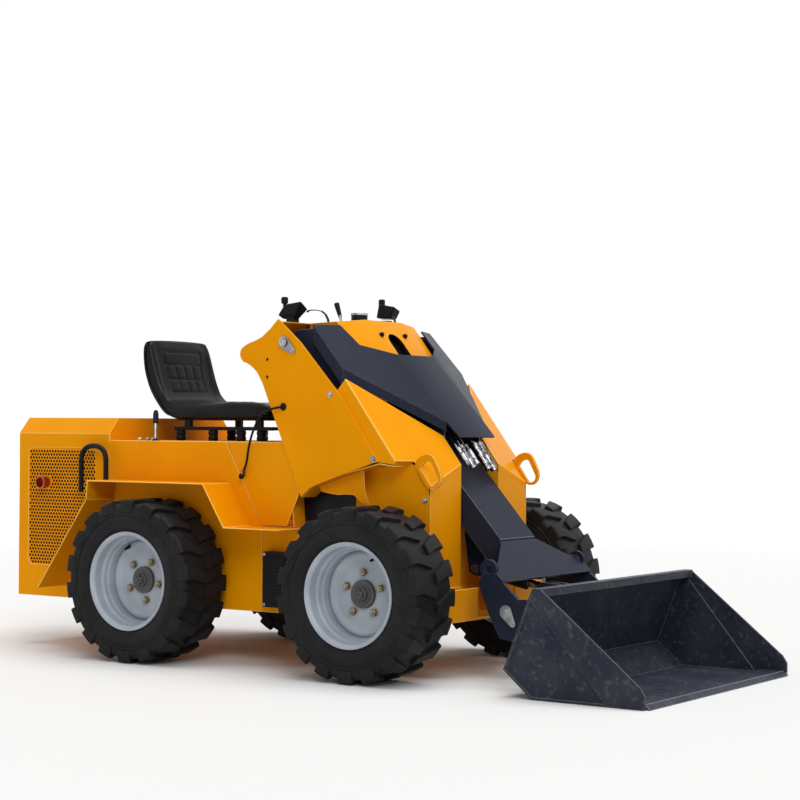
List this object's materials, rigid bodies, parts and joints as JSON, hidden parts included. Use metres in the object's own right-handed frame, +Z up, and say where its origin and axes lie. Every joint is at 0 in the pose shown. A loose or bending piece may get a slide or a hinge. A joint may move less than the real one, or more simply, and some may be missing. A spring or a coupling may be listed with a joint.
{
  "type": "skid steer loader",
  "caption": "Compact ride-on skid steer loader with lugged tyres, a folded boom over an open operator's deck, and a quick-attach bucket.",
  "frame": {"origin": "on the ground under the middle of the machine, midway between the tail and the bucket's lip", "axes": "+X forward to the bucket, +Y to the machine's left, +Z up"},
  "size_m": [2.724, 1.164, 1.294],
  "materials": {
    "orange_paint": "satin",
    "navy_paint": "satin",
    "rim_paint": "satin",
    "black_paint": "satin",
    "tyre_rubber": "matte",
    "seat_vinyl": "satin",
    "black_plastic": "matte",
    "cord_rubber": "satin",
    "chrome": "polished",
    "steel": "satin",
    "exhaust_metal": "satin",
    "iron": "matte"
  },
  "bodies": {
    "machine": {"lower_frame": "orange_paint", "engine_side_panels": "orange_paint", "deck_side_panels": "orange_paint", "tail_panel": "orange_paint", "engine_hood": "orange_paint", "operator_deck": "orange_paint", "fenders": "orange_paint", "tower_side_plates": "orange_paint", "tower_shoulders": "orange_paint", "tower_legs": "orange_paint", "front_arches": "orange_paint", "side_aprons": "orange_paint", "tower_bulkhead": "orange_paint", "console": "orange_paint", "front_sill": "orange_paint", "lift_loops": "orange_paint", "boom_pivot_pins": "steel", "lift_brackets": "steel", "wheel_motors": "iron", "engine": "iron", "grilles": "orange_paint", "seat_base": "black_paint", "seat_cushion": "seat_vinyl", "seat_backrest": "seat_vinyl", "grab_handles": "black_paint", "control_pods": "black_plastic", "control_levers": "black_plastic", "exhaust_stub": "exhaust_metal", "side_box": "black_plastic", "control_cord": "cord_rubber", "cord_plug": "steel"},
    "boom": {"boom_frame": "navy_paint", "boom_head": "navy_paint", "boom_cover": "navy_paint", "hose_couplers": "chrome", "tilt_pin": "steel", "bucket_hinge_pins": "steel"},
    "bucket_unit": {"attach_frame": "navy_paint", "bucket": "navy_paint", "cutting_edge": "navy_paint"},
    "lift_barrel_pair": {"lift_barrels": "black_paint"},
    "lift_rod_pair": {"lift_rods": "chrome"},
    "tilt_barrel_body": {"tilt_barrel": "black_paint"},
    "tilt_rod_body": {"tilt_rod": "chrome"},
    "wheel_front_right": {"rim_front_right": "rim_paint", "tyre_front_right": "tyre_rubber"},
    "wheel_front_left": {"rim_front_left": "rim_paint", "tyre_front_left": "tyre_rubber"},
    "wheel_rear_right": {"rim_rear_right": "rim_paint", "tyre_rear_right": "tyre_rubber"},
    "wheel_rear_left": {"rim_rear_left": "rim_paint", "tyre_rear_left": "tyre_rubber"}
  },
  "joints": [
    {"name": "boom_lift", "type": "hinge", "parent": "machine", "child": "boom", "pos_m": [-0.074, 0, 1.1], "axis": [0, -1, 0], "range_deg": [0, 58]},
    {"name": "bucket_tilt", "type": "hinge", "parent": "boom", "child": "bucket_unit", "pos_m": [0.744, 0, 0.234], "axis": [0, 1, 0], "range_deg": [-20, 90]},
    {"name": "lift_barrel_swing", "type": "hinge", "parent": "machine", "child": "lift_barrel_pair", "pos_m": [0.068, 0, 0.25], "axis": [0, -1, 0], "range_deg": [-6, 6]},
    {"name": "lift_rod_slide", "type": "slide", "parent": "lift_barrel_pair", "child": "lift_rod_pair", "axis": [0.0411, 0, 0.9992], "range_m": [-0.001, 0.215]},
    {"name": "tilt_barrel_swing", "type": "hinge", "parent": "boom", "child": "tilt_barrel_body", "pos_m": [0.468, 0, 0.345], "axis": [0, -1, 0], "range_deg": [-14, 14]},
    {"name": "tilt_rod_slide", "type": "slide", "parent": "tilt_barrel_body", "child": "tilt_rod_body", "axis": [0.978, 0, -0.2087], "range_m": [-0.03, 0.11]},
    {"name": "wheel_front_right_spin", "type": "hinge", "parent": "machine", "child": "wheel_front_right", "pos_m": [0.328, -0.475, 0.282], "axis": [0, 1, 0], "continuous": true},
    {"name": "wheel_front_left_spin", "type": "hinge", "parent": "machine", "child": "wheel_front_left", "pos_m": [0.328, 0.475, 0.282], "axis": [0, 1, 0], "continuous": true},
    {"name": "wheel_rear_right_spin", "type": "hinge", "parent": "machine", "child": "wheel_rear_right", "pos_m": [-0.61, -0.475, 0.282], "axis": [0, 1, 0], "continuous": true},
    {"name": "wheel_rear_left_spin", "type": "hinge", "parent": "machine", "child": "wheel_rear_left", "pos_m": [-0.61, 0.475, 0.282], "axis": [0, 1, 0], "continuous": true}
  ],
  "couplings": [
    {"joint": "lift_rod_slide", "follows": "boom_lift", "m_per_rad": 0.20039},
    {"joint": "lift_barrel_swing", "follows": "boom_lift", "ratio": -0.04297},
    {"joint": "tilt_rod_slide", "follows": "bucket_tilt", "m_per_rad": 0.05696},
    {"joint": "tilt_barrel_swing", "follows": "bucket_tilt", "ratio": 0.00385}
  ]
}
